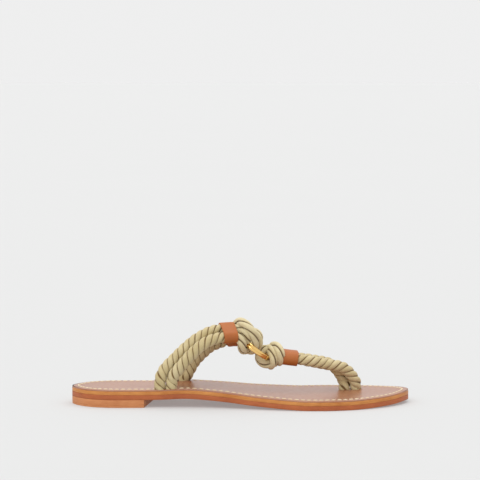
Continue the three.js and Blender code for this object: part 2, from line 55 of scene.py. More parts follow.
# Sizes of the upper
ROPE_DIAMETER = 8.2 * MM
KNOT_ROPE_DIAMETER = 7 * MM
INSTEP_RISE = 46 * MM
CORD_GAP = 0.3 * MM
BAND_THICKNESS = 1.2 * MM
INSTEP_BAND_LENGTH = 9 * MM
TOE_BAND_LENGTH = 11.5 * MM
RING_DIAMETER = 26 * MM
RING_WIRE = 2.3 * MM
RING_TILT = math.radians(35)
HOOP_OPENING = math.radians(4)

ROPE_SPACING = ROPE_DIAMETER + CORD_GAP
MIDSOLE_BASE = OUTSOLE_THICKNESS + LAYER_GAP
INSOLE_BASE = MIDSOLE_BASE + MIDSOLE_THICKNESS + LAYER_GAP
SOLE_THICKNESS = INSOLE_BASE + INSOLE_THICKNESS

# Outline of the sole: share of the length, then shares of the ball width on outer and inner side
OUTLINE = [
    (0.04, 0.212, 0.224), (0.1, 0.3, 0.306), (0.18, 0.312, 0.318), (0.28, 0.298, 0.318),
    (0.4, 0.316, 0.329), (0.48, 0.365, 0.359), (0.56, 0.424, 0.4), (0.64, 0.476, 0.453),
    (0.7, 0.498, 0.484), (0.76, 0.492, 0.5), (0.82, 0.45, 0.49), (0.88, 0.37, 0.44),
    (0.94, 0.24, 0.345), (0.98, 0.1, 0.225),
]
TOE_TIP_ACROSS = 0.06

# Underside of the outsole: share of the length, shares of the heel height and of the toe spring
UNDERSIDE = [
    (0, 1, 0), (0.25, 1, 0), (0.34, 1.13, 0), (0.41, 0.965, 0), (0.47, 0.75, 0), (0.53, 0.47, 0),
    (0.59, 0.26, 0), (0.65, 0.08, 0), (0.69, 0, 0), (0.82, 0, 0), (0.89, 0, 0.25), (0.94, 0, 0.5),
    (1, 0, 1),
]

# Middle lines of the pairs of ropes: share of the length, of the ball width and of the instep
# rise, then the direction from the first rope to the second
OUTER_PAIR = [
    (0.28, -0.241, 0.03, 1, 0, 0), (0.281, -0.241, 0.093, 1, 0, 0), (0.283, -0.24, 0.173, 0.97, -0.05, -0.22),
    (0.292, -0.238, 0.273, 0.82, -0.35, -0.4), (0.318, -0.233, 0.425, 0.63, -0.6, -0.49),
    (0.348, -0.221, 0.591, 0.51, -0.71, -0.48), (0.375, -0.204, 0.721, 0.42, -0.76, -0.49),
    (0.394, -0.187, 0.792, 0.35, -0.8, -0.49), (0.413, -0.167, 0.842, 0.33, -0.76, -0.55),
    (0.434, -0.146, 0.882, 0.3, -0.75, -0.59), (0.457, -0.125, 0.902, 0.3, -0.75, -0.59),
    (0.482, -0.101, 0.916, 0.3, -0.75, -0.59),
]
INNER_PAIR = [
    (0.311, 0.247, 0.02, 1, 0, 0), (0.322, 0.247, 0.113, 0.89, 0, -0.45),
    (0.35, 0.246, 0.361, 0.7, 0.35, -0.62), (0.385, 0.227, 0.555, 0.55, 0.55, -0.63),
    (0.407, 0.207, 0.652, 0.45, 0.62, -0.64), (0.43, 0.18, 0.71, 0.35, 0.65, -0.68),
    (0.454, 0.153, 0.77, 0.3, 0.65, -0.7), (0.474, 0.128, 0.8, 0.3, 0.65, -0.7),
    (0.49, 0.104, 0.815, 0.3, 0.65, -0.7),
]
TOE_PAIR = [
    (0.829, 0.226, 0.03, -1, 0, 0), (0.829, 0.225, 0.095, -0.96, 0.2, -0.2),
    (0.824, 0.222, 0.16, -0.81, 0.43, -0.38), (0.814, 0.212, 0.25, -0.66, 0.6, -0.4),
    (0.8, 0.198, 0.33, -0.35, 0.81, -0.46), (0.781, 0.18, 0.395, -0.12, 0.95, -0.2),
    (0.761, 0.164, 0.435, 0, 1, 0), (0.713, 0.115, 0.495, 0, 1, 0), (0.671, 0.098, 0.533, 0, 1, 0),
    (0.646, 0.096, 0.541, 0, 1, 0), (0.622, 0.098, 0.549, 0, 1, 0),
]
RING_PLACE = (0.542, 0.035, 0.646)

# Knot strands in rope diameters from the ring's centre: down its slope, across, above its plane
OUTER_EYE = [
    (-1.74, -1.83, 0.14), (-1.34, -1.7, -0.09), (-1.07, -1.28, -0.4), (-0.79, -0.73, -0.5),
    (-0.45, -0.3, -0.05), (-0.66, -0.62, 0.38), (-0.97, -1.07, 0.52), (-1.34, -1.37, 0.72),
    (-1.72, -1.4, 0.89), (-2.11, -1.22, 0.82),
]
INNER_EYE = [
    (-1.29, 0.61, 0.71), (-0.94, -0.12, 1.23), (-0.51, -0.67, 1.27), (-0.21, -0.73, 0.97),
    (-0.03, -0.48, 0.51), (-0.07, -0.24, -0.09), (-0.47, 0, -0.3), (-1.04, 0.37, -0.2),
]
INSTEP_WRAP = [
    (-1.84, 0.12, 0.39), (-2.31, 0, 0.48), (-2.62, -0.3, 0.8), (-2.58, -0.79, 1.33),
    (-2.11, -1.4, 1.49), (-1.52, -1.7, 1.45), (-0.96, -1.68, 1.24), (-0.52, -1.34, 0.81),
    (-0.3, -0.91, 0.35), (-0.19, -0.36, 0.01),
]
TOE_EYE = [
    (2.2, 0.12, 0.16), (1.85, 0, -0.3), (1.39, -0.06, -0.54), (0.93, -0.06, -0.49),
    (0.63, 0, -0.24), (0.56, 0.12, 0.14), (0.79, 0.31, 0.51), (1.23, 0.61, 0.71), (1.8, 0.98, 0.75),
]
NECK_WRAP = [
    (1.35, 1.28, 1), (1.33, 0.55, 1.26), (1.62, -0.12, 1.34), (2.01, -0.46, 1.11), (2.33, -0.34, 0.74),
    (2.43, 0.12, 0.32), (2.29, 0.86, 0.05), (1.74, 1.34, 0.21), (1.21, 1.04, 0.59), (1.14, 0.37, 0.8),
    (1.46, -0.19, 0.68), (1.83, -0.4, 0.37), (2.05, -0.22, -0.06), (1.97, 0.25, -0.41), (1.66, 0.73, -0.32),
]
NECK_CORE = [(2.44, 0.65, 0.69), (1.88, 0.73, 0.4), (1.38, 0.73, -0.01)]


# Camera, in the place that the photograph was taken from
CAMERA_DISTANCE = 1.6
CAMERA_ELEVATION = math.radians(8.6)
CAMERA_PITCH = math.radians(4.27)
LENS_MM = 161
camera_data = bpy.data.cameras.new("camera")
camera_data.lens = LENS_MM
camera = bpy.data.objects.new("camera", camera_data)
bpy.context.collection.objects.link(camera)
camera.location = (
    -0.0004,
    -CAMERA_DISTANCE * math.cos(CAMERA_ELEVATION),
    CAMERA_DISTANCE * math.sin(CAMERA_ELEVATION),
)
camera.rotation_euler = (math.pi / 2 - CAMERA_PITCH, 0, 0)
bpy.context.scene.camera = camera


# Smooth routes through chosen points

class Route:
    """A centripetal Catmull-Rom curve with places given by distance along it."""

    STEPS = 48

    def __init__(self, points, closed=False):
        knots = [np.array(p, dtype=float) for p in points]
        if closed:
            knots = [knots[-1], *knots, knots[0], knots[1]]
        else:
            knots = [2 * knots[0] - knots[1], *knots, 2 * knots[-1] - knots[-2]]
        dense = []
        for before, start, end, after in zip(knots, knots[1:], knots[2:], knots[3:]):
            dense.extend(self.span(before, start, end, after))
        dense.append(knots[-2])
        self.dense = np.array(dense)
        steps = np.linalg.norm(np.diff(self.dense, axis=0), axis=1)
        self.distance = np.concatenate([[0], np.cumsum(steps)])
        self.length = self.distance[-1]
        self.knot_distance = self.distance[:: self.STEPS]

    def span(self, before, start, end, after):
        gap = [np.linalg.norm(b - a) ** 0.5 for a, b in ((before, start), (start, end), (end, after))]
        leave = (start - before) / gap[0] - (end - before) / (gap[0] + gap[1]) + (end - start) / gap[1]
        arrive = (end - start) / gap[1] - (after - start) / (gap[1] + gap[2]) + (after - end) / gap[2]
        leave = leave * gap[1]
        arrive = arrive * gap[1]
        for i in range(self.STEPS):
            t = i / self.STEPS
            square = (3 * (end - start) - 2 * leave - arrive) * t * t
            cube = (2 * (start - end) + leave + arrive) * t * t * t
            yield start + leave * t + square + cube

    def at(self, distance):
        return np.array([np.interp(distance, self.distance, self.dense[:, i]) for i in range(3)])

    def points(self, low, high, count):
        return np.array([self.at(d) for d in np.linspace(low, high, count)])


def unit(vector):
    return vector / np.linalg.norm(vector)


def tangents(points, closed=False):
    if closed:
        ahead = np.roll(points, -1, axis=0) - np.roll(points, 1, axis=0)
    else:
        ahead = np.gradient(points, axis=0)
    return ahead / np.linalg.norm(ahead, axis=1)[:, None]


def carried_frames(points):
    """Two directions across a route, carried along it without twist."""
    along = tangents(points)
    helper = np.array([0, 0, 1.0]) if abs(along[0][2]) < 0.9 else np.array([1.0, 0, 0])
    first = unit(np.cross(along[0], helper))
    rows = [first]
    for tangent in along[1:]:
        first = unit(first - tangent * np.dot(first, tangent))
        rows.append(first)
    normal = np.array(rows)
    return normal, np.cross(along, normal)


# The sole's own curves

def follow(rows, column, at):
    """Smooth value through a table's column, without overshoot."""
    if at <= rows[0][0]:
        return rows[0][column]
    if at >= rows[-1][0]:
        return rows[-1][column]

    def slope(i):
        return (rows[i + 1][column] - rows[i][column]) / (rows[i + 1][0] - rows[i][0])

    def tangent(i):
        if i in (0, len(rows) - 1):
            return 0
        before, after = slope(i - 1), slope(i)
        return 0 if before * after <= 0 else 2 * before * after / (before + after)

    i = max(k for k in range(len(rows)) if rows[k][0] <= at)
    width = rows[i + 1][0] - rows[i][0]
    t = (at - rows[i][0]) / width
    rest = 1 - t
    low = rows[i][column] * (1 + 2 * t) * rest * rest + tangent(i) * width * t * rest * rest
    high = rows[i + 1][column] * (3 - 2 * t) * t * t - tangent(i + 1) * width * rest * t * t
    return low + high


def lengthwise(at):
    return (at - 0.5) * SOLE_LENGTH


def underside(x):
    at = x / SOLE_LENGTH + 0.5
    return follow(UNDERSIDE, 1, at) * HEEL_HEIGHT + follow(UNDERSIDE, 2, at) * TOE_SPRING


def insole_top(x):
    return underside(x) + SOLE_THICKNESS


def outline_route():
    outer = [(lengthwise(0), 0, 0)]
    outer += [(lengthwise(at), -out * BALL_WIDTH, 0) for at, out, inside in OUTLINE]
    outer.append((lengthwise(1), TOE_TIP_ACROSS * BALL_WIDTH, 0))
    inner = [(lengthwise(at), inside * BALL_WIDTH, 0) for at, out, inside in reversed(OUTLINE)]
    route = Route(outer + inner, closed=True)
    return route, route.knot_distance[len(outer) - 1]


OUTLINE_ROUTE, TOE_DISTANCE = outline_route()


def outline_offset(distance, inset):
    """Point of the outline, set in by a distance, with its outward direction."""
    step = 0.5 * MM
    ahead = OUTLINE_ROUTE.at((distance + step) % OUTLINE_ROUTE.length)
    behind = OUTLINE_ROUTE.at((distance - step) % OUTLINE_ROUTE.length)
    along = unit(ahead - behind)
    outward = np.array([along[1], -along[0], 0])
    return OUTLINE_ROUTE.at(distance) - outward * inset, outward


# Building pieces

def clear_selection():
    for item in bpy.context.selected_objects:
        item.select_set(False)


def take(name):
    """Name the object that was just added and leave nothing else selected."""
    piece = bpy.context.object
    piece.name = name
    piece.data.name = name
    return piece


def in_edit_mode(piece, *steps):
    clear_selection()
    piece.select_set(True)
    bpy.context.view_layer.objects.active = piece
    bpy.ops.object.mode_set(mode="EDIT")
    for step in steps:
        step()
    bpy.ops.object.mode_set(mode="OBJECT")


def apply_modifier(piece, kind, **settings):
    clear_selection()
    piece.select_set(True)
    bpy.context.view_layer.objects.active = piece
    modifier = piece.modifiers.new(kind.lower(), kind)
    for key, value in settings.items():
        setattr(modifier, key, value)
    bpy.ops.object.modifier_apply(modifier=modifier.name)


def smooth(piece, angle=40):
    clear_selection()
    piece.select_set(True)
    bpy.context.view_layer.objects.active = piece
    bpy.ops.object.shade_smooth_by_angle(angle=math.radians(angle))


def mesh_piece(name, vertices, faces, uvs=None):
    mesh = bpy.data.meshes.new(name)
    mesh.from_pydata([tuple(v) for v in vertices], [], faces)
    if uvs is not None:
        layer = mesh.uv_layers.new(name="surface")
        layer.data.foreach_set("uv", np.array(uvs, dtype=np.float32).ravel())
    mesh.validate()
    piece = bpy.data.objects.new(name, mesh)
    bpy.context.collection.objects.link(piece)
    return piece


def joined(name, pieces):
    clear_selection()
    for piece in pieces:
        piece.select_set(True)
    bpy.context.view_layer.objects.active = pieces[0]
    bpy.ops.object.join()
    return take(name)


def finish_piece(piece, material, slot, *nodes):
    piece.data.materials.clear()
    piece.data.materials.append(material)
    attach(piece, "root")
    if nodes:
        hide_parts(*nodes)
    return piece


# Materials

def srgb(*channels):
    def linear(value):
        share = value / 255
        return share / 12.92 if share <= 0.04045 else ((share + 0.055) / 1.055) ** 2.4
    return (*[linear(c) for c in channels], 1)


class Value:
    """A number that varies over a surface; sums on it add Math nodes."""

    def __init__(self, finish, socket):
        self.finish = finish
        self.socket = socket

    def math(self, operation, *others):
        return self.finish.make("ShaderNodeMath", {"operation": operation}, [self, *others])

    def __add__(self, other):
        return self.math("ADD", other)

    __radd__ = __add__

    def __mul__(self, other):
        return self.math("MULTIPLY", other)

    __rmul__ = __mul__

    def __sub__(self, other):
        return self.math("SUBTRACT", other)

    def __rsub__(self, other):
        return self.finish.make("ShaderNodeMath", {"operation": "SUBTRACT"}, [other, self])


class Finish:
    """A material with one shader; every node comes from make."""

    def __init__(self, name):
        self.material = bpy.data.materials.new(name)
        self.material.use_nodes = True
        self.tree = self.material.node_tree
        self.shader = self.tree.nodes["Principled BSDF"]

    def make(self, kind, settings=None, sockets=None, out=0):
        node = self.tree.nodes.new(kind)
        for key, value in (settings or {}).items():
            setattr(node, key, value)
        items = sockets.items() if isinstance(sockets, dict) else enumerate(sockets or [])
        for key, value in items:
            self.connect(node.inputs[key], value)
        return Value(self, node.outputs[out])

    def connect(self, socket, value):
        if isinstance(value, Value):
            self.tree.links.new(value.socket, socket)
        else:
            socket.default_value = value

    def set(self, **sockets):
        for key, value in sockets.items():
            self.connect(self.shader.inputs[key.replace("_", " ")], value)

    def place(self, scale=(1, 1, 1), turn=(0, 0, 0)):
        where = self.make("ShaderNodeTexCoord", out="Object")
        return self.make("ShaderNodeMapping", {}, {"Vector": where, "Scale": scale, "Rotation": turn})

    def surface(self, scale=(1, 1, 1)):
        where = self.make("ShaderNodeTexCoord", out="UV")
        return self.make("ShaderNodeMapping", {}, {"Vector": where, "Scale": scale})

    def noise(self, where, scale, detail=3, rough=0.5):
        sockets = {"Vector": where, "Scale": scale, "Detail": detail, "Roughness": rough}
        return self.make("ShaderNodeTexNoise", {}, sockets)

    def pores(self, where, scale):
        return self.make("ShaderNodeTexVoronoi", {"feature": "F1"}, {"Vector": where, "Scale": scale})

    def spread(self, value, low, high, to_low=0.0, to_high=1.0):
        return self.make("ShaderNodeMapRange", {}, [value, low, high, to_low, to_high])

    def mix(self, factor, first, second):
        node = self.tree.nodes.new("ShaderNodeMix")
        node.data_type = "RGBA"
        self.connect(node.inputs[0], factor)
        self.connect(node.inputs[6], first)
        self.connect(node.inputs[7], second)
        return Value(self, node.outputs[2])

    def bump(self, height, strength, distance):
        sockets = {"Height": height, "Strength": strength, "Distance": distance}
        self.set(Normal=self.make("ShaderNodeBump", {}, sockets))


def rope_finish(name, dark, light, painted_shade_start, painted_shade_end, painted_shade_colour):
    """Pale cotton yarn with painted shade in the creases between the strands."""
    finish = Finish(name)
    split = finish.tree.nodes.new("ShaderNodeSeparateXYZ")
    where = finish.surface()
    finish.tree.links.new(where.socket, split.inputs[0])
    around = Value(finish, split.outputs[0])
    # around is 0 on the strand's outer line, half a turn on its inner line
    # painted shade: the colour darkens on each strand's flanks, where it meets the next strand
    painted_shade_mask = finish.spread(around.math("ABSOLUTE"), painted_shade_start, painted_shade_end)
    cloud = finish.noise(finish.place(), 90, 4)
    pale = finish.mix(finish.spread(cloud, 0.35, 0.65), dark, light)
    finish.set(Base_Color=finish.mix(painted_shade_mask, pale, painted_shade_colour))
    finish.set(Roughness=0.92)
    finish.set(**{"Sheen_Weight": 0.25, "Sheen_Roughness": 0.5})
    finish.set(**{"Specular_IOR_Level": 0.2})
    yarn = finish.make("ShaderNodeTexWave", {"wave_type": "BANDS", "bands_direction": "DIAGONAL"},
                       {"Vector": finish.surface((9, 900, 1)), "Scale": 1.0, "Distortion": 1.5, "Detail": 2.0,
                        "Detail Scale": 1.5})
    fuzz = finish.noise(finish.place(), 2600, 3, 0.7)
    finish.bump(yarn * 0.8 + fuzz * 0.6, 0.6, 0.00025)
    return finish.material


def leather_finish(name, dark, light, roughness, coat=0.0, pore_scale=1400):
    finish = Finish(name)
    where = finish.place()
    cloud = finish.noise(where, 28, 5, 0.6)
    fine = finish.noise(where, 320, 4, 0.6)
    tone = finish.spread(cloud + fine * 0.35, 0.45, 0.9)
    finish.set(Base_Color=finish.mix(tone, dark, light))
    finish.set(Roughness=finish.spread(fine, 0.3, 0.7, roughness - 0.05, roughness + 0.07))
    finish.set(**{"Coat_Weight": coat, "Coat_Roughness": 0.35})
    pores = finish.pores(where, pore_scale)
    finish.bump(pores * 0.6 + fine * 0.8, 0.25, 0.00012)
    return finish.material


def edge_finish(name, dark, light, roughness):
    """A cut leather edge: fibres run along the layer and dark specks lie between them."""
    finish = Finish(name)
    along = finish.noise(finish.place((1, 1, 14)), 160, 5, 0.65)
    blotch = finish.noise(finish.place(), 60, 4, 0.6)
    tone = finish.spread(along * 0.6 + blotch * 0.5, 0.4, 0.72)
    finish.set(Base_Color=finish.mix(tone, dark, light))
    finish.set(Roughness=finish.spread(blotch, 0.3, 0.7, roughness - 0.06, roughness + 0.08))
    finish.bump(along + blotch * 0.4, 0.4, 0.0002)
    return finish.material


def gold_finish():
    finish = Finish("gold plate")
    smear = finish.noise(finish.place(), 220, 3)
    finish.set(Base_Color=srgb(245, 205, 130), Metallic=1.0)
    finish.set(Roughness=finish.spread(smear, 0.3, 0.7, 0.1, 0.18))
    return finish.material


def thread_finish():
    finish = Finish("waxed thread")
    fleck = finish.noise(finish.place(), 900, 3)
    finish.set(Base_Color=finish.mix(fleck, srgb(212, 192, 156), srgb(236, 222, 194)))
    finish.set(Roughness=0.7)
    ply = finish.noise(finish.place(), 2400, 2)
    finish.bump(ply, 0.4, 0.0001)
    return finish.material


FLOOR_GLOW = 0.25


def floor_finish():
    finish = Finish("studio floor")
    drift = finish.noise(finish.place(), 2, 2)
    finish.set(Base_Color=finish.mix(drift, (0.4, 0.402, 0.4, 1), (0.406, 0.408, 0.406, 1)))
    finish.set(Roughness=0.9, Emission_Color=(1, 1, 1, 1), Emission_Strength=FLOOR_GLOW)
    return finish.material


# the last colour of each rope finish is the painted shade in the creases between the strands
ROPE_LOOK = rope_finish("cotton rope", srgb(192, 174, 128), srgb(208, 192, 150), 0.124, 0.178, srgb(118, 88, 44))
# painted light: the knots take the rope's colour made lighter, to lift the shade inside them
LIGHTENED_KNOT_LOOK = rope_finish("knotted rope", srgb(208, 192, 148), srgb(224, 210, 170), 0.2, 0.29, srgb(112, 84, 44))
INSOLE_LOOK = leather_finish("insole leather", srgb(146, 90, 60), srgb(162, 106, 72), 0.34, coat=0.5)
BAND_LOOK = leather_finish("band leather", srgb(164, 88, 32), srgb(180, 104, 42), 0.55)
EDGE_LOOK = edge_finish("raw edge", srgb(176, 102, 36), srgb(214, 146, 74), 0.45)
OUTSOLE_LOOK = edge_finish("dyed edge", srgb(158, 78, 34), srgb(186, 102, 52), 0.5)
HEEL_LOOK = edge_finish("stacked heel", srgb(186, 112, 62), srgb(212, 144, 92), 0.55)
GOLD_LOOK = gold_finish()
THREAD_LOOK = thread_finish()


# Sole

PLATE_LENGTHWISE = 220
PLATE_ACROSS = 26


def plate(name, base, thickness, inset, edge_low, edge_high, to_toe=None):
    """A layer with the sole's outline: a grid shaped to it, extruded, with its edges rounded."""
    clear_selection()
    bpy.ops.mesh.primitive_grid_add(x_subdivisions=PLATE_LENGTHWISE, y_subdivisions=PLATE_ACROSS, size=1)
    piece = take(name)
    length = OUTLINE_ROUTE.length
    for vertex in piece.data.vertices:
        along = vertex.co.x + 0.5
        across = vertex.co.y + 0.5
        outer, _ = outline_offset(along * TOE_DISTANCE, inset)
        inner, _ = outline_offset(length - along * (length - TOE_DISTANCE), inset)
        point = outer + (inner - outer) * across
        vertex.co = (point[0], point[1], 0)
    in_edit_mode(
        piece,
        lambda: bpy.ops.mesh.select_all(action="SELECT"),
        lambda: bpy.ops.mesh.remove_doubles(threshold=0.02 * MM),
        lambda: bpy.ops.mesh.select_all(action="SELECT"),
        lambda: bpy.ops.mesh.extrude_region_move(TRANSFORM_OT_translate={"value": (0, 0, thickness)}),
        lambda: bpy.ops.mesh.select_all(action="SELECT"),
        lambda: bpy.ops.mesh.normals_make_consistent(inside=False),
    )
    round_rim(piece, 0, edge_low)
    round_rim(piece, thickness, edge_high)
    for vertex in piece.data.vertices:
        vertex.co.z += base(vertex.co.x)
    smooth(piece)
    return piece


def round_rim(piece, height, width):
    """Round the sharp edge that runs round a plate at one height."""
    if width <= 0:
        return
    mesh = piece.data
    for polygon in mesh.polygons:
        polygon.select = False
    for vertex in mesh.vertices:
        vertex.select = False
    flat = {}
    for polygon in mesh.polygons:
        for key in polygon.edge_keys:
            flat.setdefault(key, []).append(abs(polygon.normal.z) > 0.5)
    for edge in mesh.edges:
        level = all(abs(mesh.vertices[v].co.z - height) < 0.01 * MM for v in edge.vertices)
        sides = flat[edge.key]
        edge.select = level and len(sides) == 2 and sides[0] != sides[1]
    in_edit_mode(
        piece,
        lambda: bpy.ops.mesh.bevel(offset=width, segments=4, affect="EDGES"),
    )


def slice_off(piece, point, normal):
    """Cut a piece by a plane, drop what lies on the normal's side and close the cut."""
    in_edit_mode(
        piece,
        lambda: bpy.ops.mesh.select_all(action="SELECT"),
        lambda: bpy.ops.mesh.bisect(
            plane_co=point, plane_no=normal, use_fill=True, clear_outer=True, threshold=0.001 * MM
        ),
    )


outsole = plate("outsole_shaped", underside, OUTSOLE_THICKNESS + LAYER_GAP, 0, 0.6 * MM, 0.35 * MM)
finish_piece(outsole, OUTSOLE_LOOK, "outsole_leather", "outsole")

midsole = plate(
    "edge_layer", lambda x: underside(x) + MIDSOLE_BASE, MIDSOLE_THICKNESS + LAYER_GAP, 0, 0.35 * MM, 0.3 * MM
)
finish_piece(midsole, EDGE_LOOK, "edge_leather", "midsole")

insole = plate(
    "insole_shaped", lambda x: underside(x) + INSOLE_BASE, INSOLE_THICKNESS, 0.1 * MM, 0.1 * MM, 0.85 * MM
)
finish_piece(insole, INSOLE_LOOK, "insole_leather", "insole")

BREAST_POINT = (lengthwise(0) + HEEL_LENGTH, 0, 0)
BREAST_NORMAL = (math.cos(HEEL_BREAST_ANGLE), -math.sin(HEEL_BREAST_ANGLE), 0)


def heel_plate(name, base, thickness, inset, edge_low, edge_high):
    piece = plate(name, lambda x: base, thickness, inset, edge_low, edge_high)
    slice_off(piece, BREAST_POINT, BREAST_NORMAL)
    smooth(piece)
    return piece


lift = heel_plate("heel_lift_shaped", TOP_PIECE_THICKNESS, HEEL_HEIGHT - TOP_PIECE_THICKNESS, 0, 0.15 * MM, 0.15 * MM)
finish_piece(lift, HEEL_LOOK, "heel_leather", "heel_lift")

top_piece = heel_plate("heel_top_piece_shaped", 0, TOP_PIECE_THICKNESS, 0.1 * MM, 0.2 * MM, 0.15 * MM)
finish_piece(top_piece, HEEL_LOOK, "heel_leather", "heel_top_piece")


# Stitches round the insole

STITCH_INSET = 4.6 * MM
STITCH_STEP = 4.7 * MM
STITCH_LENGTH = 3.5 * MM
STITCH_RADIUS = 0.62 * MM


def stitches():
    """One rounded stitch, copied round the insole and joined."""
    count = int(OUTLINE_ROUTE.length / STITCH_STEP)
    clear_selection()
    bpy.ops.mesh.primitive_uv_sphere_add(segments=8, ring_count=6, radius=1)
    pattern = take("stitch_pattern")
    shape = [(v.co.x, v.co.y, v.co.z) for v in pattern.data.vertices]
    sides = [tuple(p.vertices) for p in pattern.data.polygons]
    bpy.data.objects.remove(pattern)
    vertices = []
    faces = []
    for i in range(count):
        middle, outward = outline_offset(i / count * OUTLINE_ROUTE.length, STITCH_INSET)
        along = np.array([-outward[1], outward[0], 0])
        start = len(vertices)
        for x, y, z in shape:
            reach = math.copysign(abs(x) ** 0.6, x) * STITCH_LENGTH / 2
            point = middle + along * reach + outward * y * STITCH_RADIUS
            height = insole_top(point[0]) + z * STITCH_RADIUS * 0.8
            vertices.append((point[0], point[1], height))
        faces.extend(tuple(start + v for v in side) for side in sides)
    piece = mesh_piece("edge_stitches", vertices, faces)
    smooth(piece, 60)
    return piece


finish_piece(stitches(), THREAD_LOOK, "rope")


# Ropes

def place(row):
    at, across, rise = row[:3]
    x = lengthwise(at)
    return np.array([x, across * BALL_WIDTH, insole_top(x) + rise * INSTEP_RISE])


class Pair:
    """Two ropes that run side by side along a middle line."""

    def __init__(self, rows):
        middles = [place(row) for row in rows]
        apart = [unit(np.array(row[3:], dtype=float)) for row in rows]
        foot = middles[0].copy()
        foot[2] = max(underside(foot[0] - ROPE_SPACING), underside(foot[0] + ROPE_SPACING)) + MIDSOLE_BASE
        middles = [foot, *middles]
        apart = [apart[0], *apart]
        self.middle = Route(middles)
        self.first = Route([m - a * ROPE_SPACING / 2 for m, a in zip(middles, apart)])
        self.second = Route([m + a * ROPE_SPACING / 2 for m, a in zip(middles, apart)])
        self.apart = apart

    def side_at(self, distance):
        knots = self.middle.knot_distance
        columns = [np.interp(distance, knots, [a[i] for a in self.apart]) for i in range(3)]
        return unit(np.array(columns))


STRAND_OFFSET = 0.262
STRAND_THICK = 0.25
STRAND_WIDE = 0.285
STRAND_SIDES = 16


def lay_strands(name, points, pitch, diameters, phase):
    """Three strands laid left-handed round a line of points, as one mesh with a UV on each strand."""
    sides = STRAND_SIDES
    normal, binormal = carried_frames(points)
    steps = np.linalg.norm(np.diff(points, axis=0), axis=1)
    distance = np.concatenate([[0], np.cumsum(steps)])
    vertices = []
    faces = []
    uvs = []
    for strand in range(3):
        turn = phase + strand * 2 * math.pi / 3 - 2 * math.pi * distance / pitch
        outward = normal * np.cos(turn)[:, None] + binormal * np.sin(turn)[:, None]
        path = points + outward * diameters[:, None] * STRAND_OFFSET
        along = tangents(path)
        radial = outward - along * np.sum(outward * along, axis=1)[:, None]
        radial = radial / np.linalg.norm(radial, axis=1)[:, None]
        flank = np.cross(along, radial)
        base = len(vertices)
        for centre, r, f, size in zip(path, radial, flank, diameters):
            for side in range(sides):
                angle = 2 * math.pi * side / sides
                thick = r * math.cos(angle) * STRAND_THICK * size
                vertices.append(centre + thick + f * math.sin(angle) * STRAND_WIDE * size)
        for i in range(len(path) - 1):
            for side in range(sides):
                after = (side + 1) % sides
                low = base + i * sides
                high = low + sides
                faces.append((low + side, low + after, high + after, high + side))
                left = side / sides if side <= sides / 2 else side / sides - 1
                right = left + 1 / sides
                uvs.extend([(left, distance[i]), (right, distance[i])])
                uvs.extend([(right, distance[i + 1]), (left, distance[i + 1])])
        start_cap = tuple(base + side for side in reversed(range(sides)))
        end_cap = tuple(base + (len(path) - 1) * sides + side for side in range(sides))
        for cap in (start_cap, end_cap):
            faces.append(cap)
            uvs.extend([(0.5, 0)] * sides)
    piece = mesh_piece(name, vertices, faces, uvs)
    smooth(piece, 60)
    return piece


ROPE_STATION = 0.6 * MM
STRAND_PITCH = 16 * MM
ROPE_SWELL = 1.05
ROPE_SQUEEZE = 0.88
SQUEEZED_LENGTH = 16 * MM


def rope_piece(name, route, high, phase):
    """A rope from its foot to its band, a little fuller where it is free and tighter at the band."""
    count = int(high / ROPE_STATION)
    points = route.points(0, high, count)
    rest = np.clip((high - np.linspace(0, high, count)) / SQUEEZED_LENGTH, 0, 1)
    ease = rest * rest * (3 - 2 * rest)
    diameters = ROPE_DIAMETER * (ROPE_SQUEEZE + (ROPE_SWELL - ROPE_SQUEEZE) * ease)
    return lay_strands(name, points, STRAND_PITCH, diameters, phase)


outer_pair = Pair(OUTER_PAIR)
inner_pair = Pair(INNER_PAIR)
toe_pair = Pair(TOE_PAIR)

ROPES = [
    ("lateral_rope_rear", outer_pair.first, INSTEP_BAND_LENGTH, 0.4),
    ("lateral_rope_front", outer_pair.second, INSTEP_BAND_LENGTH, 1.3),
    ("medial_rope_rear", inner_pair.first, INSTEP_BAND_LENGTH, 0.9),
    ("medial_rope_front", inner_pair.second, INSTEP_BAND_LENGTH, 2.0),
    ("toe_rope_front", toe_pair.first, TOE_BAND_LENGTH, 0.2),
    ("toe_rope_rear", toe_pair.second, TOE_BAND_LENGTH, 1.5),
]
for node, route, band_length, phase in ROPES:
    piece = rope_piece(node + "_laid", route, route.length - band_length / 2, phase)
    finish_piece(piece, ROPE_LOOK, "rope", node)


# Ring

ring_centre = place(RING_PLACE)
slope_down = np.array([math.cos(RING_TILT), 0, -math.sin(RING_TILT)])
slope_out = np.array([math.sin(RING_TILT), 0, math.cos(RING_TILT)])


def from_ring(row):
    down, across, above = row
    point = ring_centre + slope_down * down * ROPE_DIAMETER + slope_out * above * ROPE_DIAMETER
    return point + np.array([0, across * ROPE_DIAMETER, 0])


HOOP_SECTION_SIDES = 24
HOOP_SQUARENESS = 0.55
HOOP_LIFT = 0.9 * MM


def rounded_square(turn):
    """Point of a square with round corners, as shares of its half width."""
    x, y = math.cos(turn), math.sin(turn)
    return math.copysign(abs(x) ** HOOP_SQUARENESS, x), math.copysign(abs(y) ** HOOP_SQUARENESS, y)


def hoop_piece(name, lift, opening):
    """One hoop of the ring: a torus with a rounded square section, hinged up about its front."""
    middle = (RING_DIAMETER - RING_WIRE) / 2
    clear_selection()
    bpy.ops.mesh.primitive_torus_add(
        major_segments=128, minor_segments=HOOP_SECTION_SIDES, major_radius=middle, minor_radius=RING_WIRE / 2
    )
    piece = take(name)
    for vertex in piece.data.vertices:
        x, y, z = vertex.co
        radius = math.hypot(x, y)
        out, up = rounded_square(math.atan2(z, radius - middle))
        share = (middle + out * RING_WIRE / 2) / radius
        height = lift + up * RING_WIRE / 2 + (RING_DIAMETER / 2 - x * share) * math.tan(opening)
        vertex.co = ring_centre + slope_down * x * share + np.array([0, y * share, 0]) + slope_out * height
    smooth(piece, 60)
    return piece


